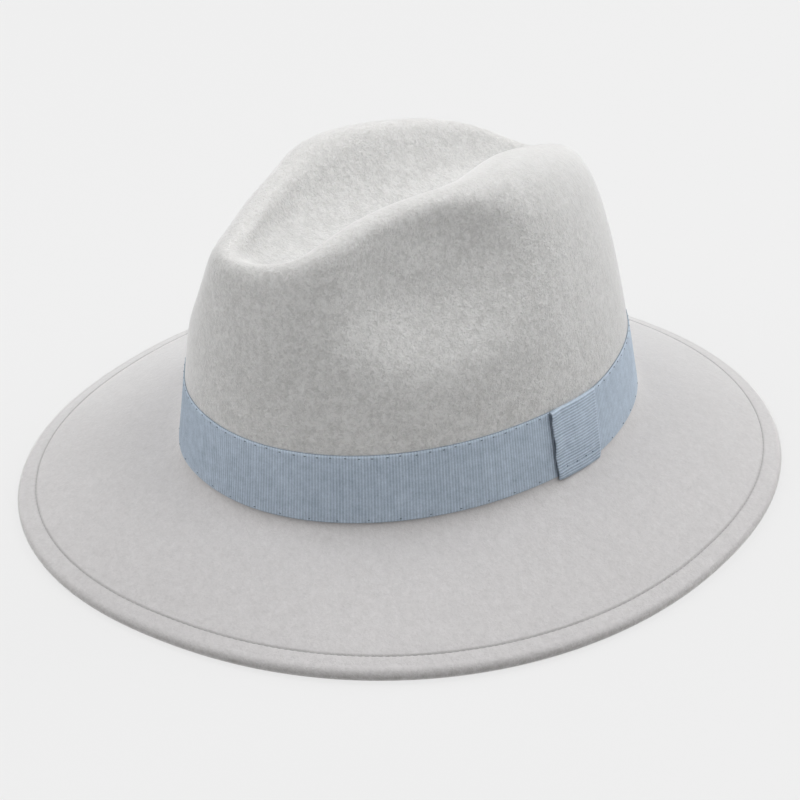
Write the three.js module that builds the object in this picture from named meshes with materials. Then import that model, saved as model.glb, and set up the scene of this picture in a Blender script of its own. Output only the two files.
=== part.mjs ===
// A soft felt fedora: one blocked body of felt with a creased and pinched crown and a stitched brim,
// a ribbon round the foot of the crown, and the flat keeper over the ribbon's join.
// Millimetres, +Z up. The front of the hat faces -Y, and +X is the wearer's left.
// The hat rests on its brim edge at z = 0, and the origin is the middle of the brim's outline.
// A place round the hat is its turn: 0 at the front, a quarter turn at the wearer's left.
import * as THREE from "three";

const WALL = 2.4; // one layer of felt
const CREASE_STATIONS_TURN = Math.PI / 5;

// The two ovals of the hat, seen from above. squareness 2 is a plain ellipse.
const HEAD_OVAL = { halfWidth: 89, halfLength: 101.4, squareness: 1.97, behind: 4.3 };
const BRIM_OVAL = { halfWidth: 147.6, halfLength: 155.8, squareness: 2.15, behind: 0 };

// The foot of the crown is pressed in a little on the wearer's right.
const FOOT_PRESS = { turn: -62, spread: 24, depth: 3.4 };

// The brim rises from its folded edge to the break, the line where it meets the crown.
const EDGE_RADIUS = 2.8; // the fold's outside, two layers thick with a little air inside
const REST_WIDTH = 2.2; // the ring that lies flat on the ground
const HEM_WIDTH = 9.5; // the felt turned under and sewn
const STITCH_INSET = 7.5;
const BREAK_HEIGHT = 23.8;
const SIDE_LIFT = 3.4; // the break stands higher at the sides
const BREAK_TO_FOOT = 4; // from the break up to the foot of the upright wall
const BREAK_RADIUS = 8;

// The rim of the crease, as stations that a smooth closed curve is drawn along, front to back.
// along and half are its plan, from the crown's middle; left and right are heights above the foot.
const CREASE_RIM = [
  { along: -86.5, half: 0, left: 93, right: 93 },
  { along: -93, half: 27.5, left: 107, right: 95 },
  { along: -26.5, half: 54, left: 115, right: 101 },
  { along: 13, half: 34, left: 112, right: 107.5 },
  { along: 89, half: 27, left: 85.5, right: 85.5 },
  { along: 91.5, half: 0, left: 73, right: 73 },
];

// How full the crown's wall is at the front, the wearer's left and right, and the back.
// lean: how far it draws in low down, part of the oval. rise: how high that lasts, part of the rim.
// shoulder: how far the top stays out before it turns over, part of the way back to the oval.
const WALL_FULLNESS = {
  front: { lean: 0.1, rise: 0.8, shoulder: 0.765 },
  left: { lean: 0.11, rise: 0.645, shoulder: 0.615 },
  right: { lean: 0.15, rise: 0.51, shoulder: 0.4 },
  back: { lean: 0.075, rise: 0.68, shoulder: 0.62 },
};

// The bottom of the crease is a straight line down the middle of the crown.
const CREASE_FLOOR = { frontHeight: 87, backHeight: 74.5, reach: 0.84, aside: -2.3 };
const RIM_CREST = 0.285; // how soon the crease falls away inside its rim
const FLOOR_SPREAD = 0.45; // how wide its floor is

// The two dents pinched into the front, on the wearer's left (side 1) and right (side -1).
const DENTS = [
  { side: 1, turn: 52, height: 90, halfLength: 43, halfHeight: 24.5, depth: 19.5, tilt: 8 },
  { side: -1, turn: 62.5, height: 87, halfLength: 51.5, halfHeight: 33, depth: 12, tilt: -10 },
];
const DENT_FIRMNESS = 3.3; // 2 is a soft bowl, higher has a flatter floor and firmer edge
const WALL_RADIUS = 95; // turns a dent's angle into a length along the wall

// The ribbon and the keeper that wraps it. Clear gaps keep the solids apart.
const GAP = 0.3;
const RIBBON = { thickness: 0.7, width: 27 };
const KEEPER = { from: 74.5, to: 90, thickness: 0.7, below: 1.7, above: 1, lip: 1 };

// How finely the surfaces are cut.
const COLUMNS = 72;
const WALL_ROWS = 10;
const CREASE_ROWS = 8;
const RIBBON_ROWS = 3;
const KEEPER_COLUMNS = 8;

const mix = (a, b, t) => a + (b - a) * t;
const clamp01 = (t) => Math.min(1, Math.max(0, t));
const ease = (t) => clamp01(t) ** 2 * (3 - 2 * clamp01(t));
const radians = THREE.MathUtils.degToRad;

// A point of an oval at a turn, with the outward direction in plan.
function ovalPoint(oval, turn) {
  const s = Math.sin(turn);
  const c = Math.cos(turn);
  const power = 2 / oval.squareness;
  const x = oval.halfWidth * Math.sign(s) * Math.abs(s) ** power;
  const y = -oval.halfLength * Math.sign(c) * Math.abs(c) ** power;
  const steep = oval.squareness - 1;
  const out = new THREE.Vector3(
    (Math.sign(x) * Math.abs(x / oval.halfWidth) ** steep) / oval.halfWidth,
    (Math.sign(y) * Math.abs(y / oval.halfLength) ** steep) / oval.halfLength,
    0,
  ).normalize();
  return { x, y: y + oval.behind, out };
}

// The foot of the crown: the head's oval, pressed in round one place.
function footPoint(turn) {
  const foot = ovalPoint(HEAD_OVAL, turn);
  const around = Math.atan2(Math.sin(turn), Math.cos(turn));
  const away = (around - radians(FOOT_PRESS.turn)) / radians(FOOT_PRESS.spread);
  const press = FOOT_PRESS.depth * Math.exp(-(away ** 4));
  return { ...foot, x: foot.x - foot.out.x * press, y: foot.y - foot.out.y * press };
}

// A smooth closed curve (uniform cubic B-spline) drawn along evenly spaced stations.
function alongStations(values, turn) {
  const count = values.length;
  const place = (((turn / CREASE_STATIONS_TURN) % count) + count) % count;
  const first = Math.floor(place);
  const t = place - first;
  const weights = [
    (1 - t) ** 3,
    3 * t ** 3 - 6 * t ** 2 + 4,
    -3 * t ** 3 + 3 * t ** 2 + 3 * t + 1,
    t ** 3,
  ];
  return weights.reduce((sum, w, k) => sum + (w / 6) * values[(first + k - 1 + count) % count], 0);
}

const lastStation = CREASE_RIM.length - 1;
const backWard = CREASE_RIM.slice(1, lastStation).reverse();
const rimHalf = [...CREASE_RIM.map((r) => r.half), ...backWard.map((r) => -r.half)];
const rimAlong = [...CREASE_RIM, ...backWard].map((r) => r.along);
const rimHeight = [...CREASE_RIM.map((r) => r.left), ...backWard.map((r) => r.right)];

// A value of WALL_FULLNESS, blended from front to side to back.
function fullness(key, turn) {
  const c = Math.cos(turn);
  const end = c > 0 ? WALL_FULLNESS.front[key] : WALL_FULLNESS.back[key];
  const side = Math.sin(turn) > 0 ? WALL_FULLNESS.left[key] : WALL_FULLNESS.right[key];
  return mix(side, end, c * c);
}

const cubic = (a, b, c, d, t) =>
  a * (1 - t) ** 3 + 3 * b * t * (1 - t) ** 2 + 3 * c * t * t * (1 - t) + d * t ** 3;

// How far the dents push the wall in, at a turn and a height above the foot.
function dentDepth(turn, height) {
  const around = Math.atan2(Math.sin(turn), Math.cos(turn));
  return DENTS.reduce((sum, dent) => {
    const along = WALL_RADIUS * (dent.side * around - radians(dent.turn));
    const up = height - dent.height;
    const c = Math.cos(radians(dent.tilt));
    const s = Math.sin(radians(dent.tilt));
    const r = Math.hypot((along * c + up * s) / dent.halfLength, (up * c - along * s) / dent.halfHeight);
    return sum + dent.depth * Math.exp(-(r ** DENT_FIRMNESS));
  }, 0);
}

const footRise = (turn) => SIDE_LIFT * Math.sin(turn) ** 2;

// The crown's outside. climb runs from 0 at the foot to 1 on the crease rim and 2 on the crease floor.
function crownPoint(turn, climb) {
  const foot = ovalPoint(HEAD_OVAL, turn);
  const footY = foot.y - HEAD_OVAL.behind;
  const start = footPoint(turn);
  const rimX = alongStations(rimHalf, turn);
  const rimY = alongStations(rimAlong, turn);
  const rimZ = alongStations(rimHeight, turn);
  let x, y, z;
  let push = 1;
  if (climb <= 1) {
    const lean = 1 - fullness("lean", turn);
    const shoulder = fullness("shoulder", turn);
    const low = footRise(turn);
    x = cubic(start.x, foot.x * lean, mix(rimX, foot.x, shoulder), rimX, climb);
    y = cubic(start.y - HEAD_OVAL.behind, footY * lean, mix(rimY, footY, shoulder), rimY, climb);
    z = cubic(low, mix(low, rimZ, fullness("rise", turn)), rimZ, rimZ, climb);
  } else {
    const { frontHeight, backHeight, reach, aside } = CREASE_FLOOR;
    const floorY = rimY * reach;
    const front = alongStations(rimAlong, 0) * reach;
    const back = alongStations(rimAlong, Math.PI) * reach;
    const floorZ = mix(frontHeight, backHeight, (floorY - front) / (back - front));
    const inward = climb - 1;
    x = cubic(rimX, mix(rimX, aside, RIM_CREST), mix(aside, rimX, FLOOR_SPREAD), aside, inward);
    y = cubic(rimY, mix(rimY, floorY, RIM_CREST), mix(floorY, rimY, FLOOR_SPREAD), floorY, inward);
    z = cubic(rimZ, rimZ, floorZ, floorZ, inward);
    push = 1 - ease(inward * 1.6);
  }
  const depth = push * dentDepth(turn, z);
  return new THREE.Vector3(
    x - foot.out.x * depth,
    y - foot.out.y * depth + HEAD_OVAL.behind,
    z + BREAK_HEIGHT + BREAK_TO_FOOT,
  );
}

// A point of the brim's top, inset millimetres in from the edge towards the crown.
function brimPoint(turn, inset, drop = 0) {
  const edge = ovalPoint(BRIM_OVAL, turn);
  const foot = footPoint(turn);
  const width = Math.hypot(foot.x - edge.x, foot.y - edge.y);
  const t = inset / width;
  const rise = (inset - EDGE_RADIUS) / (width - EDGE_RADIUS);
  const breakZ = BREAK_HEIGHT + footRise(turn);
  return new THREE.Vector3(mix(edge.x, foot.x, t), mix(edge.y, foot.y, t), mix(2 * EDGE_RADIUS, breakZ, rise) - drop);
}

function brimWidth(turn) {
  const edge = ovalPoint(BRIM_OVAL, turn);
  const foot = footPoint(turn);
  return Math.hypot(foot.x - edge.x, foot.y - edge.y);
}

// The hollow corner where brim and crown meet. t runs from 0 on the brim to 1 at the wall's foot.
function breakPoint(turn, t) {
  const start = brimPoint(turn, brimWidth(turn) - BREAK_RADIUS);
  const corner = brimPoint(turn, brimWidth(turn));
  const end = crownPoint(turn, 0);
  return new THREE.QuadraticBezierCurve3(start, corner, end).getPoint(t);
}

// The fold at the brim's edge: angle -90 is on the ground and 90 is on top.
function foldPoint(turn, angle) {
  const point = brimPoint(turn, EDGE_RADIUS * (1 - Math.cos(radians(angle))));
  point.z = EDGE_RADIUS * (1 + Math.sin(radians(angle)));
  return point;
}

function restPoint(turn, inset) {
  const point = brimPoint(turn, inset);
  point.z = 0;
  return point;
}

// Joins rings of points into one closed skin. Each ring has COLUMNS points, or is a folded line
// whose left and right columns share their points.
class Skin {
  constructor() {
    this.points = [];
    this.faces = [];
  }

  ring(points) {
    const first = this.points.length;
    this.points.push(...points);
    return points.map((_, k) => first + k);
  }

  foldedLine(points) {
    const ids = this.ring(points.slice(0, COLUMNS / 2 + 1));
    return points.map((_, k) => ids[Math.min(k, COLUMNS - k)]);
  }

  join(lower, upper) {
    const count = lower.length;
    for (let k = 0; k < count; k += 1) {
      const next = (k + 1) % count;
      this.triangle(lower[k], lower[next], upper[next]);
      this.triangle(lower[k], upper[next], upper[k]);
    }
  }

  triangle(a, b, c) {
    if (a !== b && b !== c && c !== a) this.faces.push(a, b, c);
  }

  geometry() {
    const geometry = new THREE.BufferGeometry().setFromPoints(this.points);
    geometry.setIndex(this.faces);
    geometry.computeVertexNormals();
    return geometry;
  }
}

const turns = Array.from({ length: COLUMNS }, (_, k) => (2 * Math.PI * k) / COLUMNS);
const ringOf = (place) => turns.map((turn) => place(turn));
const steps = (count, from = 0) => Array.from({ length: count }, (_, k) => from + (k + 1) / count);

// The outer skin's rings from the ground to the crease rim, then the crease itself.
function feltRings() {
  const rings = [-90, -45, 0, 45, 90].map((angle) => ringOf((turn) => foldPoint(turn, angle)));
  const offsetFrom = rings.length;
  rings.push(ringOf((turn) => brimPoint(turn, STITCH_INSET)));
  const hemRing = rings.length;
  rings.push(ringOf((turn) => brimPoint(turn, HEM_WIDTH + 0.6)));
  for (const part of [0.35, 0.7]) {
    rings.push(ringOf((turn) => brimPoint(turn, mix(HEM_WIDTH, brimWidth(turn) - BREAK_RADIUS, part))));
  }
  for (const t of [0, 0.4, 0.72, 1]) rings.push(ringOf((turn) => breakPoint(turn, t)));
  for (const climb of steps(WALL_ROWS)) rings.push(ringOf((turn) => crownPoint(turn, climb)));
  for (const climb of steps(CREASE_ROWS, 1)) rings.push(ringOf((turn) => crownPoint(turn, climb)));
  return { rings, offsetFrom, hemRing };
}

function makeFeltBody() {
  const { rings, hemRing } = feltRings();
  const last = rings.length - 1;

  // The outer skin alone gives the direction in which the wall has its thickness.
  const outside = new Skin();
  const ids = rings.map((ring, k) => (k === last ? outside.foldedLine(ring) : outside.ring(ring)));
  for (let k = 0; k < last; k += 1) outside.join(ids[k], ids[k + 1]);
  const normals = outside.geometry().getAttribute("normal");
  const inside = (ring) =>
    ids[ring].map((id) =>
      outside.points[id].clone().addScaledVector(new THREE.Vector3().fromBufferAttribute(normals, id), -WALL),
    );

  // The inner skin comes back down to the turned-under edge and the ring on the ground.
  let upper = outside.foldedLine(inside(last));
  for (let k = last - 1; k >= hemRing; k -= 1) {
    const lower = outside.ring(inside(k));
    outside.join(upper, lower);
    upper = lower;
  }
  const underside = [
    ringOf((turn) => brimPoint(turn, HEM_WIDTH, 2 * EDGE_RADIUS)),
    ringOf((turn) => restPoint(turn, EDGE_RADIUS + REST_WIDTH)),
  ];
  for (const ring of underside) {
    const lower = outside.ring(ring);
    outside.join(upper, lower);
    upper = lower;
  }
  outside.join(upper, ids[0]);
  return outside.geometry();
}

// A point off the crown's wall: height is above the foot, and off is the distance out from the felt.
function offWall(turn, height, off) {
  const target = BREAK_HEIGHT + BREAK_TO_FOOT + footRise(turn) + height;
  let low = 0;
  let high = 0.8;
  for (let k = 0; k < 40; k += 1) {
    const middle = (low + high) / 2;
    if (crownPoint(turn, middle).z < target) low = middle;
    else high = middle;
  }
  const point = crownPoint(turn, Math.max(0, low)).addScaledVector(ovalPoint(HEAD_OVAL, turn).out, off);
  point.z = target;
  return point;
}

// The band is a closed loop with a thin upright section.
function makeRibbonBand() {
  const skin = new Skin();
  const heights = [0, ...steps(RIBBON_ROWS)].map((t) => t * RIBBON.width);
  const section = [
    ...heights.map((height) => [height, GAP + RIBBON.thickness]),
    ...heights.reverse().map((height) => [height, GAP]),
  ];
  const rings = section.map(([height, off]) => skin.ring(ringOf((turn) => offWall(turn, height, off))));
  rings.forEach((ring, k) => skin.join(ring, rings[(k + 1) % rings.length]));
  return skin.geometry();
}

// The keeper's section is a flat channel: its face, and a lip turned in over and under the band.
function makeRibbonKeeper() {
  const { thickness, below, above, lip, from, to } = KEEPER;
  const face = 2 * GAP + RIBBON.thickness;
  const section = [
    [-below, face + thickness - 0.3],
    [0, face + thickness],
    [RIBBON.width / 2, face + thickness],
    [RIBBON.width, face + thickness],
    [RIBBON.width + above, face + thickness - 0.3],
    [RIBBON.width + above, face - lip],
    [RIBBON.width + GAP, face - lip],
    [RIBBON.width + GAP, face],
    [RIBBON.width / 2, face],
    [-GAP, face],
    [-GAP, face - lip + 0.4],
    [-below, face - lip + 0.7],
  ];
  const skin = new Skin();
  const columns = [0, ...steps(KEEPER_COLUMNS)].map((t) => {
    const turn = radians(mix(from, to, t));
    return skin.ring(section.map(([height, off]) => offKeeper(turn, height, off)));
  });
  for (let k = 1; k < columns.length; k += 1) skin.join(columns[k], columns[k - 1]);
  const outline = section.map(([height, off]) => new THREE.Vector2(off, height));
  const caps = THREE.ShapeUtils.triangulateShape(outline, []);
  const firstColumn = columns[0];
  const lastColumn = columns[columns.length - 1];
  const anticlockwise = THREE.ShapeUtils.area(outline) > 0;
  for (const [a, b, c] of caps) {
    const [p, q] = anticlockwise ? [b, c] : [c, b];
    skin.triangle(firstColumn[a], firstColumn[p], firstColumn[q]);
    skin.triangle(lastColumn[a], lastColumn[q], lastColumn[p]);
  }
  return skin.geometry();
}

// As offWall, but below the foot it goes straight down from the wall's foot.
function offKeeper(turn, height, off) {
  const point = offWall(turn, Math.max(0, height), off);
  point.z += Math.min(0, height);
  return point;
}

const feltGrey = new THREE.MeshStandardMaterial({ color: 0xc6c4c3, roughness: 0.95, metalness: 0 });
const ribbonBlue = new THREE.MeshStandardMaterial({ color: 0x9aaabe, roughness: 0.7, metalness: 0 });

const fedora = new THREE.Group();
const pieces = [
  ["felt_body", makeFeltBody(), feltGrey],
  ["ribbon_band", makeRibbonBand(), ribbonBlue],
  ["ribbon_keeper", makeRibbonKeeper(), ribbonBlue],
];
for (const [name, geometry, material] of pieces) {
  const piece = new THREE.Mesh(geometry, material);
  piece.name = name;
  fedora.add(piece);
}

export default fedora;
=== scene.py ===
import math

import bpy
import numpy as np
from mathutils import Matrix, Vector


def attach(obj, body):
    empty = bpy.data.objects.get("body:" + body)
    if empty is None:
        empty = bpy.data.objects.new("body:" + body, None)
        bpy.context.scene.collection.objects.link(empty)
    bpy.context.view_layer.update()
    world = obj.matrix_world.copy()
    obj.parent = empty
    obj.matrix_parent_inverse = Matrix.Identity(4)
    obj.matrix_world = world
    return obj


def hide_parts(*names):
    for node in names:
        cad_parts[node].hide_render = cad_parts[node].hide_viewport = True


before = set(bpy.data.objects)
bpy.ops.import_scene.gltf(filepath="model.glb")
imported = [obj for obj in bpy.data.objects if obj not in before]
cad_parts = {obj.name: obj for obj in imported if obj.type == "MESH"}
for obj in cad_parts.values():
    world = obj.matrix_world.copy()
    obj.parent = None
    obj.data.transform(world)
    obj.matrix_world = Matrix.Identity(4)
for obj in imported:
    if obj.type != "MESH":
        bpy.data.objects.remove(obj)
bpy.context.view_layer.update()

# Shape formulas work in millimetres. +Z is up, the front is -Y and +X is the wearer's left.
# A place round the hat is its turn, in radians: 0 at the front, a quarter turn at the wearer's left.
MM = 0.001

# The felt and the two ovals of the hat, as in the CAD part.
WALL = 2.4
HEAD_OVAL = {"half_width": 89, "half_length": 101.4, "squareness": 1.97, "behind": 4.3}
BRIM_OVAL = {"half_width": 147.6, "half_length": 155.8, "squareness": 2.15, "behind": 0}
FOOT_PRESS = {"turn": -62, "spread": 24, "depth": 3.4}
EDGE_RADIUS = 2.8
REST_WIDTH = 2.2
HEM_WIDTH = 9.5
STITCH_INSET = 7.5
BREAK_HEIGHT = 23.8
SIDE_LIFT = 3.4
BREAK_TO_FOOT = 4
BREAK_RADIUS = 8

# The rim of the crease: along and half are its plan, left and right its heights above the foot.
CREASE_RIM = [
    {"along": -86.5, "half": 0, "left": 93, "right": 93},
    {"along": -93, "half": 27.5, "left": 107, "right": 95},
    {"along": -26.5, "half": 54, "left": 115, "right": 101},
    {"along": 13, "half": 34, "left": 112, "right": 107.5},
    {"along": 89, "half": 27, "left": 85.5, "right": 85.5},
    {"along": 91.5, "half": 0, "left": 73, "right": 73},
]
WALL_FULLNESS = {
    "front": {"lean": 0.1, "rise": 0.8, "shoulder": 0.765},
    "left": {"lean": 0.11, "rise": 0.645, "shoulder": 0.615},
    "right": {"lean": 0.15, "rise": 0.51, "shoulder": 0.4},
    "back": {"lean": 0.075, "rise": 0.68, "shoulder": 0.62},
}
CREASE_FLOOR = {"front_height": 87, "back_height": 74.5, "reach": 0.84, "aside": -2.3}
RIM_CREST = 0.285
FLOOR_SPREAD = 0.45
# The dents in the crown's sides. side is 1 on the wearer's left, and turn is degrees from the front.
LEFT_DENT = {"side": 1, "turn": 52, "height": 90, "depth": 19.5, "tilt": 8}
LEFT_DENT.update({"half_length": 43, "half_height": 24.5})
RIGHT_DENT = {"side": -1, "turn": 62.5, "height": 87, "depth": 12, "tilt": -10}
RIGHT_DENT.update({"half_length": 51.5, "half_height": 33})
DENTS = [LEFT_DENT, RIGHT_DENT]
DENT_FIRMNESS = 3.3
WALL_RADIUS = 95

# The ribbon, its ribs and the keeper.
RIBBON_WIDTH = 27
RIBBON_OFF = 0.02
RIBBON_THICKNESS = 0.5
RIB_PITCH = 1.17
RIB_DEPTH = 0.13
SELVEDGE = 0.9
BAND_DROP = {"turn": 90, "spread": 13, "drop": 1.3}
# These radii turn degrees round the hat into millimetres, on the band and for the keeper's flat width.
BAND_RADIUS = 92
KEEPER_RADIUS = 90
KEEPER = {"thickness": 0.7, "clear": 0.15, "below": 1.7, "above": 0.25, "hem": 4.9, "bend": 0.85}
KEEPER_CORNER = 2.7
KEEPER_TURNS = {"left_low": 74.9, "left_high": 74.3, "right_low": 89.6, "right_high": 90.2}

# The threads.
STITCH_COUNT = 372
BRIM_STITCH = {"length": 2.15, "radius": 0.17, "rise": 0.04}
RIBBON_TACK = {"length": 1.1, "radius": 0.22, "rise": 0.04}
KEEPER_STITCH = {"length": 0.9, "radius": 0.23, "rise": 0.1}
TACK_ROWS = [{"height": RIBBON_WIDTH - 1.15, "pitch": 5.2}, {"height": 1.1, "pitch": 11.5}]

# How finely the surfaces are cut.
FELT_COLUMNS = 320
FOLD_RINGS = 11
GROOVE_RINGS = 15
FLAT_RINGS = 19
BREAK_RINGS = 9
WALL_RINGS = 72
CREASE_RINGS = 48
RIB_SAMPLES = 6
KEEPER_COLUMNS = 45
RNG = np.random.default_rng(7)


def mix(a, b, t):
    """The straight blend from a at t = 0 to b at t = 1."""
    return a + (b - a) * t


def ease(t):
    """Smooth step: 3 t squared minus 2 t cubed, held between 0 and 1."""
    t = np.clip(t, 0, 1)
    return t * t * (3 - 2 * t)


def cubic(a, b, c, d, t):
    """Cubic Bezier curve through a and d, pulled towards b and c."""
    s = 1 - t
    return a * s**3 + 3 * b * t * s**2 + 3 * c * t * t * s + d * t**3


def oval(shape, turn):
    """Superellipse: x = a sin^(2/n), y = -b cos^(2/n), with its outward direction in plan."""
    s, c = np.sin(turn), np.cos(turn)
    power = 2 / shape["squareness"]
    x = shape["half_width"] * np.sign(s) * np.abs(s) ** power
    y = -shape["half_length"] * np.sign(c) * np.abs(c) ** power
    steep = shape["squareness"] - 1
    out_x = np.sign(x) * np.abs(x / shape["half_width"]) ** steep / shape["half_width"]
    out_y = np.sign(y) * np.abs(y / shape["half_length"]) ** steep / shape["half_length"]
    size = np.hypot(out_x, out_y)
    return x, y + shape["behind"], out_x / size, out_y / size


def foot_line(turn):
    """The foot of the crown: the head's oval, pushed in by depth times exp(-away^4) round one place."""
    x, y, out_x, out_y = oval(HEAD_OVAL, turn)
    around = np.arctan2(np.sin(turn), np.cos(turn))
    away = (around - math.radians(FOOT_PRESS["turn"])) / math.radians(FOOT_PRESS["spread"])
    press = FOOT_PRESS["depth"] * np.exp(-(away**4))
    return x - out_x * press, y - out_y * press


def along_stations(values, turn):
    """Closed uniform cubic B-spline drawn along evenly spaced stations."""
    values = np.asarray(values, float)
    count = len(values)
    place = (turn / (2 * math.pi / count)) % count
    first = np.floor(place).astype(int)
    t = place - first
    weights = [(1 - t) ** 3, 3 * t**3 - 6 * t**2 + 4, -3 * t**3 + 3 * t**2 + 3 * t + 1, t**3]
    return sum(w / 6 * values[(first + k - 1) % count] for k, w in enumerate(weights))


BACKWARD = CREASE_RIM[1:-1][::-1]
RIM_HALF = [r["half"] for r in CREASE_RIM] + [-r["half"] for r in BACKWARD]
RIM_ALONG = [r["along"] for r in CREASE_RIM + BACKWARD]
RIM_HEIGHT = [r["left"] for r in CREASE_RIM] + [r["right"] for r in BACKWARD]


def fullness(key, turn):
    """A value of WALL_FULLNESS, blended from front to side to back by the cosine squared."""
    c = np.cos(turn)
    end = np.where(c > 0, WALL_FULLNESS["front"][key], WALL_FULLNESS["back"][key])
    side = np.where(np.sin(turn) > 0, WALL_FULLNESS["left"][key], WALL_FULLNESS["right"][key])
    return mix(side, end, c * c)


def dent_depth(turn, height):
    """The sum of depth times exp(-r^firmness) over the dents, with r the distance in a dent's own oval."""
    around = np.arctan2(np.sin(turn), np.cos(turn))
    total = 0
    for dent in DENTS:
        along = WALL_RADIUS * (dent["side"] * around - math.radians(dent["turn"]))
        up = height - dent["height"]
        c, s = math.cos(math.radians(dent["tilt"])), math.sin(math.radians(dent["tilt"]))
        lengthways = (along * c + up * s) / dent["half_length"]
        upwards = (up * c - along * s) / dent["half_height"]
        r = np.hypot(lengthways, upwards)
        total = total + dent["depth"] * np.exp(-(r**DENT_FIRMNESS))
    return total


def foot_rise(turn):
    """How much higher the crown's foot is at the sides: the lift times the sine of the turn squared."""
    return SIDE_LIFT * np.sin(turn) ** 2


def crown(turn, climb):
    """The crown's outside. climb is 0 at the foot, 1 on the crease rim and 2 on the crease floor.

    One cubic Bezier curve goes up the wall from foot to rim, and another goes down from the rim to the
    floor. The dents push both in, level, square to the head's oval.
    """
    foot_x, foot_y, out_x, out_y = oval(HEAD_OVAL, turn)
    foot_y = foot_y - HEAD_OVAL["behind"]
    start_x, start_y = foot_line(turn)
    start_y = start_y - HEAD_OVAL["behind"]
    rim_x = along_stations(RIM_HALF, turn)
    rim_y = along_stations(RIM_ALONG, turn)
    rim_z = along_stations(RIM_HEIGHT, turn)
    lean = 1 - fullness("lean", turn)
    shoulder = fullness("shoulder", turn)
    low = foot_rise(turn)
    up = np.clip(climb, 0, 1)
    wall_x = cubic(start_x, foot_x * lean, mix(rim_x, foot_x, shoulder), rim_x, up)
    wall_y = cubic(start_y, foot_y * lean, mix(rim_y, foot_y, shoulder), rim_y, up)
    wall_z = cubic(low, mix(low, rim_z, fullness("rise", turn)), rim_z, rim_z, up)
    reach, aside = CREASE_FLOOR["reach"], CREASE_FLOOR["aside"]
    floor_y = rim_y * reach
    front, back = [along_stations(RIM_ALONG, np.array(a)) * reach for a in (0.0, math.pi)]
    part = (floor_y - front) / (back - front)
    floor_z = mix(CREASE_FLOOR["front_height"], CREASE_FLOOR["back_height"], part)
    inward = np.clip(climb - 1, 0, 1)
    crest_x, spread_x = mix(rim_x, aside, RIM_CREST), mix(aside, rim_x, FLOOR_SPREAD)
    crest_y, spread_y = mix(rim_y, floor_y, RIM_CREST), mix(floor_y, rim_y, FLOOR_SPREAD)
    crease_x = cubic(rim_x, crest_x, spread_x, aside, inward)
    crease_y = cubic(rim_y, crest_y, spread_y, floor_y, inward)
    crease_z = cubic(rim_z, rim_z, floor_z, floor_z, inward)
    on_wall = climb <= 1
    x = np.where(on_wall, wall_x, crease_x)
    y = np.where(on_wall, wall_y, crease_y)
    z = np.where(on_wall, wall_z, crease_z)
    push = np.where(on_wall, 1, 1 - ease(inward * 1.6)) * dent_depth(turn, z)
    y = y - out_y * push + HEAD_OVAL["behind"]
    return np.stack([x - out_x * push, y, z + BREAK_HEIGHT + BREAK_TO_FOOT], -1)


def brim_width(turn):
    """The distance in plan from the brim's edge to the foot of the crown."""
    edge, foot = oval(BRIM_OVAL, turn), foot_line(turn)
    return np.hypot(foot[0] - edge[0], foot[1] - edge[1])


def brim(turn, inset, drop=0):
    """The brim's top, inset millimetres in from the edge on the straight line to the foot of the crown.

    Its height goes in a straight line from the top of the folded edge to the break, less drop.
    """
    edge, foot = oval(BRIM_OVAL, turn), foot_line(turn)
    width = brim_width(turn)
    t = inset / width
    rise = (inset - EDGE_RADIUS) / (width - EDGE_RADIUS)
    z = mix(2 * EDGE_RADIUS, BREAK_HEIGHT + foot_rise(turn), rise) - drop
    return np.stack([mix(edge[0], foot[0], t), mix(edge[1], foot[1], t), z + 0 * t], -1)


def groove(inset):
    """How far the sewing pulls the brim's top down: a narrow dip on the line and a wide one round it."""
    away = inset - STITCH_INSET
    return 0.34 * np.exp(-((away / 0.4) ** 2)) + 0.2 * np.exp(-((away / 2.0) ** 2))


def brim_break(turn, t):
    """The hollow corner between brim and crown: a quadratic Bezier curve, t = 0 on the brim."""
    width = brim_width(turn)
    start, corner, end = brim(turn, width - BREAK_RADIUS), brim(turn, width), crown(turn, 0 * turn)
    return start * (1 - t) ** 2 + corner * 2 * t * (1 - t) + end * t * t


def fold(turn, angle):
    """The rolled edge of the brim, a half circle: angle -90 is on the ground and 90 on top."""
    point = brim(turn, EDGE_RADIUS * (1 - math.cos(math.radians(angle))))
    point[..., 2] = EDGE_RADIUS * (1 + math.sin(math.radians(angle)))
    return point


def band_foot(turn):
    """The height of the band's lower edge: the crown's foot, less drop times exp(-away^2) at one turn."""
    around = np.arctan2(np.sin(turn), np.cos(turn))
    away = (around - math.radians(BAND_DROP["turn"])) / math.radians(BAND_DROP["spread"])
    return BREAK_HEIGHT + BREAK_TO_FOOT + foot_rise(turn) - BAND_DROP["drop"] * np.exp(-(away**2))


def off_wall(turn, height, off):
    """The point off millimetres outside the crown's wall and height above its foot.

    The climb that reaches the height is found by halving. Below the foot the point goes straight down.
    """
    turn, height, off = np.broadcast_arrays(turn, height, off)
    target = band_foot(turn) + np.maximum(height, 0)
    low, high = np.zeros(turn.shape), np.full(turn.shape, 0.8)
    for _ in range(22):
        middle = (low + high) / 2
        under = crown(turn, middle)[..., 2] < target
        low, high = np.where(under, middle, low), np.where(under, high, middle)
    point = crown(turn, low)
    _, _, out_x, out_y = oval(HEAD_OVAL, turn)
    x = point[..., 0] + out_x * off
    y = point[..., 1] + out_y * off
    return np.stack([x, y, target + np.minimum(height, 0)], -1)


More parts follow.
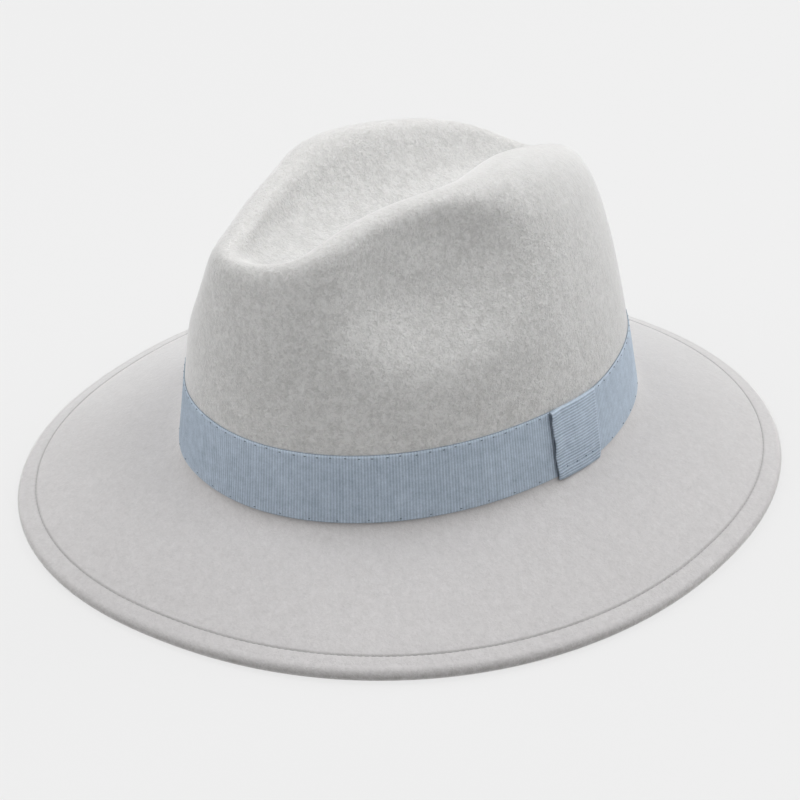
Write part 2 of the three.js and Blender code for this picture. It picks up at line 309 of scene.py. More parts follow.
def make_mesh(name, points, faces, material, uv=None):
    """A smooth mesh object from points in millimetres and an array of quads, with its body and slot."""
    mesh = bpy.data.meshes.new(name)
    points = np.asarray(points, np.float64).reshape(-1, 3) * MM
    faces = np.asarray(faces, np.int32)
    sides = faces.shape[1]
    mesh.vertices.add(len(points))
    mesh.vertices.foreach_set("co", points.astype(np.float32).ravel())
    mesh.loops.add(faces.size)
    mesh.loops.foreach_set("vertex_index", faces.ravel())
    mesh.polygons.add(len(faces))
    mesh.polygons.foreach_set("loop_start", np.arange(0, faces.size, sides, dtype=np.int32))
    mesh.polygons.foreach_set("use_smooth", np.ones(len(faces), bool))
    if uv is not None:
        layer = mesh.uv_layers.new(name="UVMap")
        layer.data.foreach_set("uv", np.asarray(uv, np.float32).reshape(-1, 2)[faces.ravel()].ravel())
    mesh.update(calc_edges=True)
    mesh.validate()
    mesh.materials.append(material)
    piece = bpy.data.objects.new(name, mesh)
    bpy.context.scene.collection.objects.link(piece)
    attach(piece, "root")
    return piece


def add_attribute(piece, name, values):
    """A number for each point of a piece, which its material reads by name."""
    attribute = piece.data.attributes.new(name, "FLOAT", "POINT")
    attribute.data.foreach_set("value", values.astype(np.float32))


def join_rings(lower, upper):
    """Quads between two rings of vertex numbers, each ring running round the hat."""
    return np.stack([lower, np.roll(lower, -1), np.roll(upper, -1), upper], -1)


def vertex_normals(points, quads):
    """Unit normals, each the sum of the cross products of its quads' diagonals."""
    p = points[quads]
    cross = np.cross(p[:, 2] - p[:, 0], p[:, 3] - p[:, 1])
    normals = np.zeros_like(points)
    for corner in range(4):
        np.add.at(normals, quads[:, corner], cross)
    return normals / np.maximum(np.linalg.norm(normals, axis=1), 1e-9)[:, None]


def ring_places(start, end, count):
    """count even places from start to end, without start itself, where the last ring already is."""
    return np.linspace(start, end, count + 1)[1:]


def make_felt(material):
    """Crown and brim in one felt, swept round the hat ring by ring.

    The outer skin goes from the ground up to the crease floor. The inner skin goes back down, the wall's
    thickness in along the normals, every third ring, to the end of the folded hem under the brim. The
    hem's underside and the flat ring that the hat rests on close it.
    """
    count = FELT_COLUMNS
    turn = 2 * math.pi * np.arange(count) / count
    width = brim_width(turn)
    rings = [fold(turn, angle) for angle in np.linspace(-90, 90, FOLD_RINGS)]
    before_line = np.linspace(3.2, 6.1, 8)
    near_line = np.linspace(-1.05, 1.05, GROOVE_RINGS) + STITCH_INSET
    past_line = [8.9, 9.4, 10.1, 10.9, 12, 13.5, 15.5]
    insets = np.concatenate([before_line, near_line, past_line])
    rings += [brim(turn, inset, groove(inset)) for inset in insets]
    flat = ring_places(0, 1, FLAT_RINGS)
    rings += [brim(turn, mix(past_line[-1], width - BREAK_RADIUS, part)) for part in flat]
    rings += [brim_break(turn, t) for t in ring_places(0, 1, BREAK_RINGS)]
    climbs = np.concatenate([ring_places(0, 1, WALL_RINGS), ring_places(1, 2, CREASE_RINGS)])
    rings += [crown(turn, np.full(count, climb)) for climb in climbs]
    hem = FOLD_RINGS + int(np.searchsorted(insets, HEM_WIDTH + 0.6))
    outer = np.concatenate(rings)
    ids = np.arange(len(outer)).reshape(len(rings), count)
    column = np.arange(count)
    ids[-1] = ids[-1][np.minimum(column, (count - column) % count)]
    quads = np.concatenate([join_rings(ids[k], ids[k + 1]) for k in range(len(rings) - 1)])
    normals = vertex_normals(outer, quads)
    inner = outer - WALL * normals
    picked = [len(rings) - 1, *range(len(rings) - 4, hem, -3), hem]
    under = [brim(turn, HEM_WIDTH, 2 * EDGE_RADIUS), brim(turn, EDGE_RADIUS + REST_WIDTH)]
    under[1][:, 2] = 0
    inner_ids = [ids[k] + len(outer) for k in picked]
    base = 2 * len(outer)
    inner_ids += [base + column, base + count + column, ids[0]]
    turned = [join_rings(inner_ids[k], inner_ids[k + 1]) for k in range(len(inner_ids) - 1)]
    faces = np.concatenate([quads, *turned])
    points = np.concatenate([outer, inner, *under])
    used, renumbered = np.unique(faces, return_inverse=True)
    faces = renumbered.reshape(faces.shape)
    piece = make_mesh("felt_hat", points[used], faces, material)
    # The stitch line's mask is exp(-away^2) round it, the share of painted shade in its groove, and
    # crest is the same round the crease's rim, the share of its painted highlight.
    groove_shade = np.zeros((len(rings), count))
    groove_shade[FOLD_RINGS:FOLD_RINGS + len(insets)] = np.exp(-(((insets - STITCH_INSET) / 0.55) ** 2))[:, None]
    crest = np.zeros((len(rings), count))
    crest[-len(climbs):] = np.exp(-(((climbs - 1.06) / 0.2) ** 2))[:, None]
    inside = np.zeros(len(points) - len(outer))
    add_attribute(piece, "groove_shade", np.concatenate([groove_shade.ravel(), inside])[used])
    add_attribute(piece, "crest", np.concatenate([crest.ravel(), inside])[used])
    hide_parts("felt_body")
    return piece


def even_turns(ring, count):
    """count turns at even distances round a closed line, and the line's length, the sum of its steps."""
    fine = np.linspace(0, 2 * math.pi, 2881)
    points = ring(fine)
    steps = np.linalg.norm(np.diff(points, axis=0), axis=1)
    distance = np.concatenate([[0], np.cumsum(steps)])
    return np.interp(np.arange(count) / count * distance[-1], distance, fine), distance[-1]


def make_ribbon(material):
    """The band: a thin upright section swept round the crown.

    The section is its face from the lower to the upper edge, then its back down again. dip is how far a
    point of the face sits back, ribbed is its share of the ribs, and a rib is a cosine of the distance.
    """
    def middle_line(a):
        return off_wall(a, RIBBON_WIDTH / 2, RIBBON_OFF + RIBBON_THICKNESS)

    _, length = even_turns(middle_line, 8)
    ribs = round(length / RIB_PITCH)
    count = ribs * RIB_SAMPLES
    turn, _ = even_turns(middle_line, count)
    top = RIBBON_WIDTH
    low_edge = [0.0, 0.15, 0.5, SELVEDGE, 1.4]
    high_edge = [top - 1.4, top - SELVEDGE, top - 0.5, top - 0.15, top]
    face = np.array(low_edge + [5, 9.5, 14, 18.5, 22] + high_edge)
    dip = np.array([0.3, 0.1, 0, 0.07, 0] + [0] * 5 + [0, 0.07, 0.05, 0.2, 0.45])
    out = RIBBON_OFF + RIBBON_THICKNESS - dip
    ribbed = np.array([0, 0.15, 0.3, 0.5, 1] + [1] * 5 + [1, 0.5, 0.3, 0.15, 0])
    back = np.array([top - 0.1, top - 2.5, 2.5, 0.1])
    back_off = RIBBON_OFF + np.array([0.04, 0, 0, 0.1])
    height = np.concatenate([face, back])[:, None]
    off = np.concatenate([out, back_off])[:, None]
    wave = RIB_DEPTH * (np.cos(2 * math.pi * np.arange(count) / RIB_SAMPLES) - 1) / 2
    off = off + np.concatenate([ribbed, np.zeros(len(back))])[:, None] * wave
    points = off_wall(turn[None, :], height, off)
    ids = np.arange(points.shape[0] * count).reshape(-1, count)
    faces = np.concatenate([join_rings(ids[k], ids[(k + 1) % len(ids)]) for k in range(len(ids))])
    around = np.broadcast_to(np.arange(count) / count * length * MM, height.shape[:1] + (count,))
    uv = np.stack([around, np.broadcast_to(height * MM, around.shape)], -1)
    piece = make_mesh("ribbon", points, faces, material, uv=uv)
    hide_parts("ribbon_band")
    return piece


def keeper_lift(across, height):
    """How far the keeper's free left edge stands off the band.

    It fades by exp(-across^2) over the first third, with two sines up the height that make it uneven.
    """
    edge = np.exp(-((across / 0.15) ** 2))
    uneven = 0.75 + 0.25 * np.sin(height * 0.55 + 0.6) + 0.12 * np.sin(height * 1.3)
    return (0.85 + 0.012 * height) * edge * uneven * ease((height + 2.5) / 6)


def keeper_turn(across, height):
    """The turn of a place across the keeper.

    The right edge is straight. Two sines make the left edge wander, and a quarter circle rounds it off
    at the bottom.
    """
    low = -KEEPER["below"]
    part = (height - low) / (RIBBON_WIDTH + KEEPER["above"] - low)
    wander = 0.2 * np.sin(height * 0.42 + 0.9) + 0.12 * np.sin(height * 1.05)
    depth = np.clip(1 - (height - low) / KEEPER_CORNER, 0, 1)
    rounded = KEEPER_CORNER * (1 - np.sqrt(1 - depth**2 * 0.98))
    start = mix(KEEPER_TURNS["left_low"], KEEPER_TURNS["left_high"], part)
    start = start + np.degrees((wander + rounded) / BAND_RADIUS)
    end = mix(KEEPER_TURNS["right_low"], KEEPER_TURNS["right_high"], part)
    end = end - np.degrees(0.4 * rounded / BAND_RADIUS)
    return np.radians(mix(start, end, across))


def make_keeper(material):
    """The keeper: a face over the band, turned in at both ends, with a back and with ribs across it.

    Each end turns in by a quarter circle of radius bend. A rib is a cosine of the height, the hem line
    dips by exp(-away^2), and the right edge stands up in a ridge of the same form.
    """
    thick = KEEPER["thickness"]
    low, high = -KEEPER["below"], RIBBON_WIDTH + KEEPER["above"]
    face_off = RIBBON_OFF + RIBBON_THICKNESS + KEEPER["clear"]
    rows = int((high - low) / RIB_PITCH) * RIB_SAMPLES
    bend = KEEPER["bend"]
    face = np.linspace(low + bend, high - bend, rows)
    angle = np.radians(np.linspace(-90, 0, 8))[:-1]
    foot_height = low + bend + bend * np.sin(angle)
    foot_off = face_off + thick - bend * (1 - np.cos(angle))
    head_height = (high - bend - bend * np.sin(angle))[::-1]
    heights = np.concatenate([[low], foot_height, face, head_height, [high]])
    face_offs = np.full(rows, face_off + thick)
    offs = np.concatenate([[face_off - 0.6], foot_off, face_offs, foot_off[::-1], [0.35]])
    ribs = np.zeros(len(heights))
    first = 1 + len(foot_height)
    ribs[first:first + rows] = 1.25 * RIB_DEPTH * (np.cos(2 * math.pi * face / RIB_PITCH) - 1) / 2
    hem_line = np.exp(-(((heights - low - KEEPER["hem"]) / 0.5) ** 2))
    ribs = ribs - 0.12 * hem_line + 0.12 * ease((low + KEEPER["hem"] - heights) / 0.6)
    inside = np.clip(heights, low + 0.6 * thick, high - 0.5 * thick)
    inner_offs = np.clip(offs - thick, face_off - 0.7, face_off)
    columns = KEEPER_COLUMNS
    across = np.linspace(0, 1, columns)[None, :]
    side = np.concatenate([[0.0, 0.5, 0.85], np.ones(columns - 6), [0.85, 0.5, 0.0]])[None, :]
    height = heights[:, None] + 0 * across
    turn = keeper_turn(across, height)
    lift = keeper_lift(across, height)
    ridge = 0.3 * np.exp(-(((1 - across) / 0.045) ** 2))
    outer_offs = offs[:, None] + ribs[:, None] * side + lift + ridge - 0.2 * (1 - side)
    outer = off_wall(turn, height, outer_offs)
    inner = off_wall(turn, inside[:, None] + 0 * across, inner_offs[:, None] + lift + 0.1 * (1 - side))
    count = len(heights)
    front = np.arange(count * columns).reshape(count, columns)
    back = front + count * columns

    def strip(a, b):
        return np.stack([a[:-1], a[1:], b[1:], b[:-1]], -1)

    faces = [strip(front[k], front[k + 1]) for k in range(count - 1)]
    faces += [strip(back[k + 1], back[k]) for k in range(count - 1)]
    faces += [strip(back[:, 0], front[:, 0])[:, ::-1], strip(front[:, -1], back[:, -1])[:, ::-1]]
    faces += [strip(back[0], front[0]), strip(front[-1], back[-1])]
    points = np.concatenate([outer.reshape(-1, 3), inner.reshape(-1, 3)])
    wide = math.radians(KEEPER_TURNS["right_low"] - KEEPER_TURNS["left_low"]) * KEEPER_RADIUS
    shape = outer.shape[:2]
    flat_uv = [np.broadcast_to(heights[:, None] * MM, shape), np.broadcast_to(across * wide * MM, shape)]
    uv = np.concatenate([np.stack(flat_uv, -1).reshape(-1, 2)] * 2)
    piece = make_mesh("keeper", points, np.concatenate(faces), material, uv=uv)
    # turned is the share of painted shade on the keeper's underside and lower turn, and bold marks the
    # keeper, whose ribs are bolder and whose tone falls towards its lower end.
    turned = np.zeros(shape)
    turned[:9] = np.array([1, 1, 1, 1, 1, 0.9, 0.75, 0.5, 0.2])[:, None]
    add_attribute(piece, "turned", np.concatenate([turned.ravel(), np.ones(turned.size)]))
    add_attribute(piece, "bold", np.ones(len(points)))
    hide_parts("ribbon_keeper")
    return piece


def make_stitches(name, centre, along, out, thread, material):
    """Short threads, each a tube along a low arch: it leaves the cloth, lies on it and goes back in.

    The arch is rise times (1 - t^2), less a drop by t^4 at its ends, with t from -1 to 1 along it.
    """
    steps, around = 9, 7
    t = np.linspace(-1, 1, steps)
    angle = 2 * math.pi * np.arange(around) / around
    across = np.cross(out, along)
    thick = thread["radius"] * np.sqrt(np.maximum(1 - (np.abs(t) ** 3), 0.04))
    shift = t * thread["length"] / 2
    arch = thread["rise"] * (1 - t**2) - thread["radius"] * 1.3 * t**4
    line = centre[:, None, :] + along[:, None, :] * shift[None, :, None]
    line = line + out[:, None, :] * arch[None, :, None]
    ring = out[:, None, None, :] * np.cos(angle)[None, None, :, None]
    ring = ring + across[:, None, None, :] * np.sin(angle)[None, None, :, None]
    points = line[:, :, None, :] + ring * thick[None, :, None, None]
    ids = np.arange(len(centre) * steps * around).reshape(len(centre), steps, around)
    following = np.roll(ids, -1, axis=2)
    faces = np.stack([ids[:, :-1], following[:, :-1], following[:, 1:], ids[:, 1:]], -1).reshape(-1, 4)
    return make_mesh(name, points, faces, material)


def unit(v):
    """Each vector divided by its length."""
    return v / np.linalg.norm(v, axis=-1, keepdims=True)


def wall_directions(turn, height, off):
    """Unit directions at places on the band: along it, and outwards, which is along crossed with up."""
    along = unit(off_wall(turn + 0.003, height, off) - off_wall(turn - 0.003, height, off))
    up = unit(off_wall(turn, height + 0.5, off) - off_wall(turn, height - 0.5, off))
    return along, unit(np.cross(along, up))


def make_brim_stitching(material):
    """One row of stitches sunk in the groove near the brim's edge."""
    turn, _ = even_turns(lambda a: brim(a, STITCH_INSET), STITCH_COUNT)
    step = 0.002
    centre = brim(turn, STITCH_INSET, groove(STITCH_INSET))
    along = unit(brim(turn + step, STITCH_INSET) - brim(turn - step, STITCH_INSET))
    inward = brim(turn, STITCH_INSET + 1) - brim(turn, STITCH_INSET - 1)
    out = unit(np.cross(along, inward))
    out = out * np.sign(out[:, 2:3])
    angle = RNG.normal(0, 0.05, STITCH_COUNT)[:, None]
    along = unit(along + angle * np.cross(out, along))
    return make_stitches("brim_stitching", centre, along, out, BRIM_STITCH, material)


def make_ribbon_tacks(material):
    """Small stitches that hold the band to the felt, just inside its edges, but not under the keeper."""
    turns, heights = [], []
    for row in TACK_ROWS:
        def line(a):
            return off_wall(a, row["height"], 1.3)

        _, length = even_turns(line, 8)
        count = round(length / row["pitch"])
        turn, _ = even_turns(line, count)
        turn = turn + RNG.normal(0, 0.4, count) / BAND_RADIUS
        degrees = np.degrees(turn)
        past_left = degrees > KEEPER_TURNS["left_high"] - 1
        hidden = past_left & (degrees < KEEPER_TURNS["right_high"] + 1)
        turn = turn[~hidden]
        turns.append(turn)
        heights.append(row["height"] + RNG.normal(0, 0.12, len(turn)))
    turn, height = np.concatenate(turns), np.concatenate(heights)
    off = RIBBON_OFF + RIBBON_THICKNESS - 0.1
    along, out = wall_directions(turn, height, off)
    centre = off_wall(turn, height, off)
    return make_stitches("ribbon_tacks", centre, along, out, RIBBON_TACK, material)


def make_keeper_stitches(material):
    """Four stitches through the keeper's lower end."""
    across = np.array([0.2, 0.42, 0.63, 0.8])
    height = np.array([3.3, 3.2, 3.3, 3.2])
    turn = keeper_turn(across, height)
    surface = RIBBON_OFF + RIBBON_THICKNESS + KEEPER["clear"] + KEEPER["thickness"]
    off = surface - 0.12 + keeper_lift(across, height)
    along, out = wall_directions(turn, height, off)
    centre = off_wall(turn, height, off)
    return make_stitches("keeper_stitches", centre, along, out, KEEPER_STITCH, material)


class Value:
    """A socket wrapped so that plain Python expressions on it add Math nodes."""

    def __init__(self, graph, socket):
        self.graph = graph
        self.socket = socket

    def _math(self, operation, a, b):
        return self.graph.node("ShaderNodeMath", {"operation": operation}, {0: a, 1: b})

    def __add__(self, other):
        return self._math("ADD", self, other)

    def __radd__(self, other):
        return self._math("ADD", other, self)

    def __sub__(self, other):
        return self._math("SUBTRACT", self, other)

    def __rsub__(self, other):
        return self._math("SUBTRACT", other, self)

    def __mul__(self, other):
        return self._math("MULTIPLY", self, other)

    def __rmul__(self, other):
        return self._math("MULTIPLY", other, self)

    def power(self, other):
        return self._math("POWER", self, other)

    def sine(self):
        return self._math("SINE", self, 0.0)

    def absolute(self):
        return self._math("ABSOLUTE", self, 0.0)

    def held(self):
        """The value, held between 0 and 1."""
        return self._math("MAXIMUM", self._math("MINIMUM", self, 1.0), 0.0)


class Material:
    """A node material under construction."""

    def __init__(self, name):
        self.material = bpy.data.materials.new(name)
        self.material.use_nodes = True
        self.tree = self.material.node_tree
        self.nodes = self.tree.nodes
        self.nodes.clear()
        self.output = self.nodes.new("ShaderNodeOutputMaterial")

    def feed(self, socket, term):
        """Links a Value to the socket, or sets a plain number, vector or colour on it."""
        if isinstance(term, Value):
            self.tree.links.new(term.socket, socket)
        else:
            socket.default_value = term

    def node(self, kind, settings=None, sockets=None, out=0):
        """A node of any kind, with its settings and its input sockets, as a Value of one output."""
        made = self.nodes.new(kind)
        for key, value in (settings or {}).items():
            setattr(made, key, value)
        for key, value in (sockets or {}).items():
            self.feed(made.inputs[key], value)
        return Value(self, made.outputs[out])

    def noise(self, where, scale, detail, roughness, distortion=0.0):
        """Smooth noise round 0.5, with scale features to a metre."""
        sockets = {"Vector": where, "Scale": scale, "Detail": detail, "Roughness": roughness}
        sockets["Distortion"] = distortion
        return self.node("ShaderNodeTexNoise", None, sockets)

    def blend(self, factor, a, b):
        """The colour a where the factor is 0 and b where it is 1."""
        return self.node("ShaderNodeMix", {"data_type": "RGBA"}, {0: factor, 6: a, 7: b}, 2)

    def attribute(self, name):
        """A number that the piece has at each point."""
        return self.node("ShaderNodeAttribute", {"attribute_name": name}, out=2)

    def part(self, vector, axis):
        """The x, y or z of a vector, for axis 0, 1 or 2."""
        return self.node("ShaderNodeSeparateXYZ", None, {0: vector}, axis)

    def bump(self, strength, distance, height):
        """A normal tilted by the slope of the height."""
        sockets = {"Strength": strength, "Distance": distance, "Height": height}
        return self.node("ShaderNodeBump", None, sockets)

    def surface(self, sockets):
        """The shader that every finish here is made of."""
        return self.node("ShaderNodeBsdfPrincipled", None, sockets)

    def finish(self, shader):
        """Links the shader to the output and gives the finished material."""
        self.tree.links.new(shader.socket, self.output.inputs["Surface"])
        return self.material


# Felt: the dark and light of its heathered grey on the brim and on the crown, the painted shade on
# the folded edge and in the stitch groove, the painted highlight on the crease's rim, and the fuzz.
BRIM_DARK, BRIM_LIGHT = (0.53, 0.516, 0.517, 1), (0.655, 0.64, 0.641, 1)
CROWN_DARK, CROWN_LIGHT = (0.58, 0.577, 0.568, 1), (0.745, 0.741, 0.733, 1)
ROLLED_EDGE_SHADE = (0.36, 0.345, 0.335, 1)
STITCH_GROOVE_SHADE = (0.27, 0.265, 0.265, 1)
CREST_HIGHLIGHT = (0.84, 0.83, 0.815, 1)
FUZZ = (0.93, 0.925, 0.915, 1)
# Ribbon: between its ribs, on its ribs, the painted shade along its two edges and the painted shade
# on the keeper's underside and turned end.
RIBBON_DARK, RIBBON_LIGHT = (0.275, 0.34, 0.42, 1), (0.615, 0.71, 0.825, 1)
RIBBON_EDGE_SHADE = (0.12, 0.15, 0.19, 1)
KEEPER_TURN_SHADE = (0.06, 0.085, 0.12, 1)
# Materials work in metres. These heights are where the crown's tone starts and the folded edge's ends.
CROWN_FROM, ROLL_TO = 0.030, 0.0052
# On the ribbon: the height of its middle and of the painted highlight by its top edge, and the
# pitch of its threads.
BAND_MIDDLE, TOP_HIGHLIGHT_MIDDLE = 0.0135, 0.0263
THREAD_PITCH = 0.00042


def felt_material():
    """Wool felt: pale grey and heathered, with soft mottles, a matted grain and a short raised fuzz.

    The tone is a weighted sum of four noises, with more contrast on the crown and on the folded edge.
    The folded edge has painted shade, darker in patches, and the stitch line's groove has painted
    shade; the rim of the crease has a painted highlight. The fuzz is a second pale cloth, mixed in by
    the fourth power of Layer Weight's facing.
    """
    m = Material("felt")
    where = m.node("ShaderNodeTexCoord", out=3)
    cloud = m.noise(where, 28.0, 3.0, 0.5)
    patch = m.noise(where, 170.0, 2.0, 0.5)
    mottle = m.noise(where, 330.0, 3.0, 0.55, 0.3)
    grain = m.noise(where, 880.0, 2.0, 0.65, 1.0)
    up = m.part(where, 2)
    on_crown = ((up - CROWN_FROM) * 45.0).held()
    rolled = ((ROLL_TO - up) * 350.0).held()
    tone = 0.1 * cloud + 0.12 * patch + 0.3 * mottle + 0.48 * grain
    shade = ((tone - 0.5) * (2.8 + 3.7 * on_crown + 3.2 * rolled) + 0.5).held()
    dark = m.blend(on_crown, BRIM_DARK, CROWN_DARK)
    light = m.blend(on_crown, BRIM_LIGHT, CROWN_LIGHT)
    even = m.blend(shade, dark, light)
    # Painted shade on the folded edge, in patches that follow the mottle.
    roll_shaded = m.blend(rolled * (1.9 * mottle - 0.45), even, ROLLED_EDGE_SHADE)
    # Painted shade in the stitch line's groove.
    groove_shaded = m.blend(0.35 * m.attribute("groove_shade"), roll_shaded, STITCH_GROOVE_SHADE)
    # Painted highlight along the rim of the crease.
    colour = m.blend(0.5 * m.attribute("crest"), groove_shaded, CREST_HIGHLIGHT)
    height = (0.1 * patch + 0.45 * mottle + 0.45 * grain) * (0.5 + 1.25 * on_crown + 0.9 * rolled)
    cloth = m.surface({
        "Base Color": colour,
        "Roughness": 0.95,
        "Normal": m.bump(0.85, 0.0011, height),
        "Specular IOR Level": 0.1,
        "Sheen Weight": 1.0,
        "Sheen Roughness": 0.3,
        "Sheen Tint": (1, 0.99, 0.985, 1),
    })
    fuzz = m.surface({
        "Base Color": FUZZ,
        "Roughness": 1.0,
        "Specular IOR Level": 0.0,
        "Sheen Weight": 1.0,
        "Sheen Roughness": 0.3,
    })
    facing = m.node("ShaderNodeLayerWeight", None, {"Blend": 0.5}, 1)
    return m.finish(m.node("ShaderNodeMixShader", None, {0: 0.8 * facing.power(4.0), 1: cloth, 2: fuzz}))


def ribbon_material():
    """Blue-grey grosgrain: each rib lit on its crown, fine threads along the ribbon and a little wear.

    A rib's light is a sine of the distance along the ribbon, and a thread's is one of the height. The
    band has a painted highlight along its top edge and painted shade in a dark line along both edges.
    The keeper's ribs are bolder and its tone falls towards its lower end; its underside and its lower
    turn have painted shade.
    """
    m = Material("grosgrain")
    uv = m.node("ShaderNodeUVMap", {"uv_map": "UVMap"})
    along, up = m.part(uv, 0), m.part(uv, 1)
    rib = (0.5 + 0.5 * (along * (2 * math.pi / (RIB_PITCH * MM)) + math.pi / 2).sine()).power(1.6)
    thread = 0.5 + 0.5 * (up * (2 * math.pi / THREAD_PITCH)).sine()
    where = m.node("ShaderNodeTexCoord", out=3)
    uneven = m.noise(where, 320.0, 3.0, 0.6)
    washed = m.noise(where, 34.0, 2.0, 0.5)
    stretched = m.node("ShaderNodeMapping", None, {"Vector": uv, "Scale": (1.0, 0.06, 1.0)})
    streak = m.noise(stretched, 620.0, 2.0, 0.5)
    fine = m.noise(where, 1800.0, 2.0, 0.5)
    worn = (uneven - 0.5) * 0.7 + (washed - 0.5) * 0.3 + (streak - 0.5) * 0.35 + (fine - 0.5) * 0.6
    # Painted highlight along the band's top edge.
    top_edge_highlight = ((0.0006 - (up - TOP_HIGHLIGHT_MIDDLE).absolute()) * 2500.0).held()
    bold = m.attribute("bold")
    ribbing = rib * (0.4 + 0.25 * bold) - bold * (0.2 - along * 5.0)
    tone = (0.26 + ribbing + 0.15 * thread + worn + 0.3 * top_edge_highlight).held()
    even = m.blend(tone, RIBBON_DARK, RIBBON_LIGHT)
    on_band = 1.0 - bold
    # Painted shade: a dark line along both edges of the band.
    edge = (((up - BAND_MIDDLE).absolute() - 0.01315) * 4000.0).held()
    shaded = m.blend(0.6 * edge * on_band, even, RIBBON_EDGE_SHADE)
    # Painted shade on the keeper's underside and lower turn.
    colour = m.blend(0.75 * m.attribute("turned"), shaded, KEEPER_TURN_SHADE)
    height = 0.3 * thread + 0.35 * uneven + 0.2 * fine
    return m.finish(m.surface({
        "Base Color": colour,
        "Roughness": 0.62,
        "Normal": m.bump(0.35, 0.0003, height),
        "Specular IOR Level": 0.35,
        "Sheen Weight": 0.35,
        "Sheen Roughness": 0.3,
        "Sheen Tint": (0.85, 0.93, 1, 1),
    }))


def thread_material(name, colour):
    """Twisted sewing thread: a fine noise in its tone and bump."""
    m = Material(name)
    where = m.node("ShaderNodeTexCoord", out=3)
    twist = m.noise(where, 2500.0, 2.0, 0.5)
    dark = tuple(c * 0.75 for c in colour)
    tint = m.blend(twist, (*dark, 1), (*colour, 1))
    bump = m.bump(0.4, 0.0002, twist)
    return m.finish(m.surface({"Base Color": tint, "Roughness": 0.7, "Normal": bump}))


def floor_material():
    """A plain pale sweep: mostly its own even light, and a little matte grey that takes a soft shadow."""
    m = Material("pale_floor")
    return m.finish(m.surface({
        "Base Color": (0.12, 0.12, 0.12, 1),
        "Roughness": 1.0,
        "Specular IOR Level": 0.0,
        "Emission Color": (0.729, 0.729, 0.729, 1),
        "Emission Strength": 1.0,
    }))


def direction(azimuth, elevation):
    """The unit vector towards a place azimuth degrees round from the front and elevation degrees up."""
    a, e = math.radians(azimuth), math.radians(elevation)
    return Vector((math.sin(a) * math.cos(e), -math.cos(a) * math.cos(e), math.sin(e)))


# The pieces.
felt = felt_material()
grosgrain = ribbon_material()
make_felt(felt)
make_ribbon(grosgrain)
make_keeper(grosgrain)
make_brim_stitching(thread_material("brim_thread", (0.44, 0.43, 0.43)))
make_ribbon_tacks(thread_material("ribbon_thread", (0.17, 0.21, 0.27)))
make_keeper_stitches(thread_material("keeper_thread", (0.13, 0.17, 0.23)))

# The camera, as fitted to the photo: turned round the hat and looking down at it.
VIEW = {"azimuth": 35.10, "elevation": 28.55, "roll": -1.52, "distance": 1063.9, "focal_px": 2646.5}
AIM_RIGHT, AIM_UP, AIM_BACK = -2.876, 27.165, 4.3
IMAGE_PX = 800
SENSOR = 36
around, roll = math.radians(VIEW["azimuth"]), math.radians(VIEW["roll"])
backward = direction(VIEW["azimuth"], VIEW["elevation"])
level = Vector((math.cos(around), math.sin(around), 0))
upward = backward.cross(level)
right = level * math.cos(roll) + upward * math.sin(roll)
top = upward * math.cos(roll) - level * math.sin(roll)
aim = level * AIM_RIGHT + Vector((0, AIM_BACK, AIM_UP))
camera = bpy.data.objects.new("camera", bpy.data.cameras.new("camera"))
camera.matrix_world = Matrix((right, top, backward)).transposed().to_4x4()
camera.location = (aim + backward * VIEW["distance"]) * MM
camera.data.sensor_width = SENSOR
camera.data.lens = VIEW["focal_px"] / IMAGE_PX * SENSOR
bpy.context.scene.collection.objects.link(camera)
bpy.context.scene.camera = camera

# The floor, a hair under the brim, and the reach of the floor and the backdrop from the hat, in metres.
FLOOR_REACH, FLOOR_SINK = 30, 0.0002
WALL_REACH, WALL_LOW, WALL_HIGH = 6, -0.2, 6


def square(reach, z):
    """The four corners of a level square round the hat."""
    return [(-reach, -reach, z), (reach, -reach, z), (reach, reach, z), (-reach, reach, z)]


floor_mesh = bpy.data.meshes.new("floor")
floor_mesh.from_pydata(square(FLOOR_REACH, 0), [], [(0, 1, 2, 3)])
floor_mesh.materials.append(floor_material())
floor = bpy.data.objects.new("floor", floor_mesh)
floor.location.z = -FLOOR_SINK
bpy.context.scene.collection.objects.link(floor)

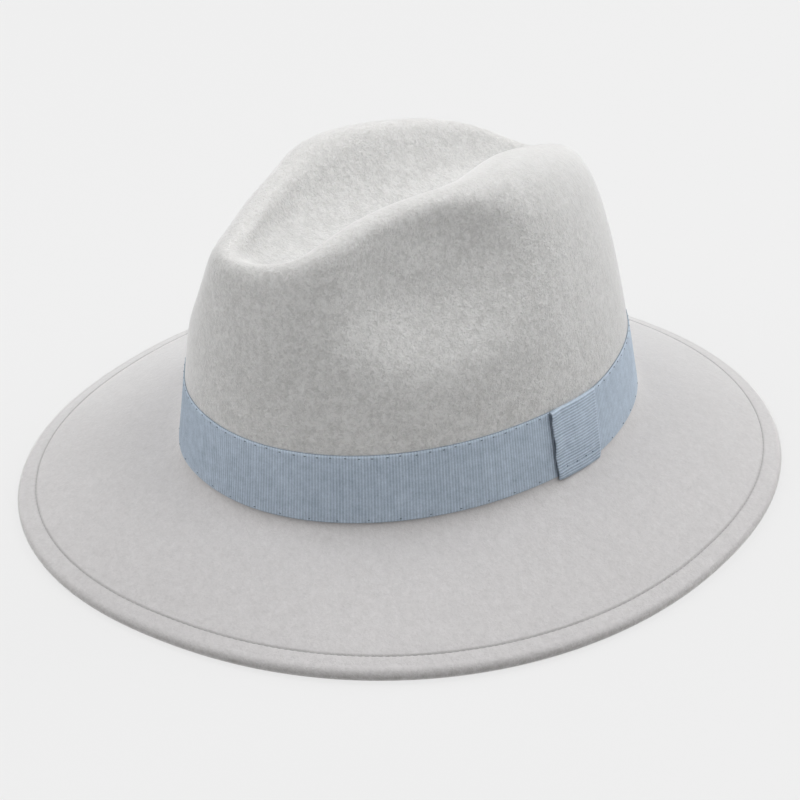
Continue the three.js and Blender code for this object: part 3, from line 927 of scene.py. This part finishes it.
# A pale wall far behind, all round, that is seen from low down and throws no light on the hat.
corners = square(WALL_REACH, WALL_LOW) + square(WALL_REACH, WALL_HIGH)
sides = [(k, (k + 1) % 4, 4 + (k + 1) % 4, 4 + k) for k in range(4)]
wall_mesh = bpy.data.meshes.new("backdrop")
wall_mesh.from_pydata(corners, [], sides)
wall_mesh.materials.append(floor_mesh.materials[0])
backdrop = bpy.data.objects.new("backdrop", wall_mesh)
backdrop.visible_diffuse = False
backdrop.visible_glossy = False
backdrop.visible_transmission = False
backdrop.visible_shadow = False
bpy.context.scene.collection.objects.link(backdrop)

# Soft studio lights: round boxes at one distance from a point inside the crown.
LIGHT_DISTANCE = 1.8
LIT_POINT = Vector((0, 0, 0.06))
LIGHTS = [
    {"name": "overhead", "azimuth": 0, "elevation": 88, "size": 1.0, "watts": 6.0},
    {"name": "left_box", "azimuth": -85, "elevation": 52, "size": 1.1, "watts": 6.8},
    {"name": "front_left_low_box", "azimuth": -52, "elevation": 34, "size": 1.1, "watts": 3.0},
    {"name": "left_low_box", "azimuth": -85, "elevation": 22, "size": 1.1, "watts": 3.3},
    {"name": "right_box", "azimuth": 95, "elevation": 52, "size": 1.1, "watts": 11.3},
    {"name": "front_left_box", "azimuth": -25, "elevation": 52, "size": 1.1, "watts": 8.4},
    {"name": "back_box", "azimuth": 155, "elevation": 52, "size": 1.1, "watts": 5.5},
    {"name": "back_low_box", "azimuth": 155, "elevation": 22, "size": 1.1, "watts": 10.4},
    {"name": "back_left_box", "azimuth": -145, "elevation": 22, "size": 1.1, "watts": 6.5},
]
for light in LIGHTS:
    lamp = bpy.data.lights.new(light["name"], "AREA")
    lamp.shape = "DISK"
    lamp.size = light["size"]
    lamp.energy = light["watts"]
    holder = bpy.data.objects.new(light["name"], lamp)
    towards = direction(light["azimuth"], light["elevation"])
    holder.location = towards * LIGHT_DISTANCE + LIT_POINT
    holder.rotation_euler = towards.to_track_quat("Z", "Y").to_euler()
    bpy.context.scene.collection.objects.link(holder)

world = bpy.data.worlds.new("studio")
world.use_nodes = True
sky = world.node_tree.nodes["Background"]
sky.inputs["Color"].default_value = (0.87, 0.87, 0.87, 1)
sky.inputs["Strength"].default_value = 0.01
bpy.context.scene.world = world
bpy.context.scene.view_settings.view_transform = "Standard"
bpy.context.scene.view_settings.look = "None"
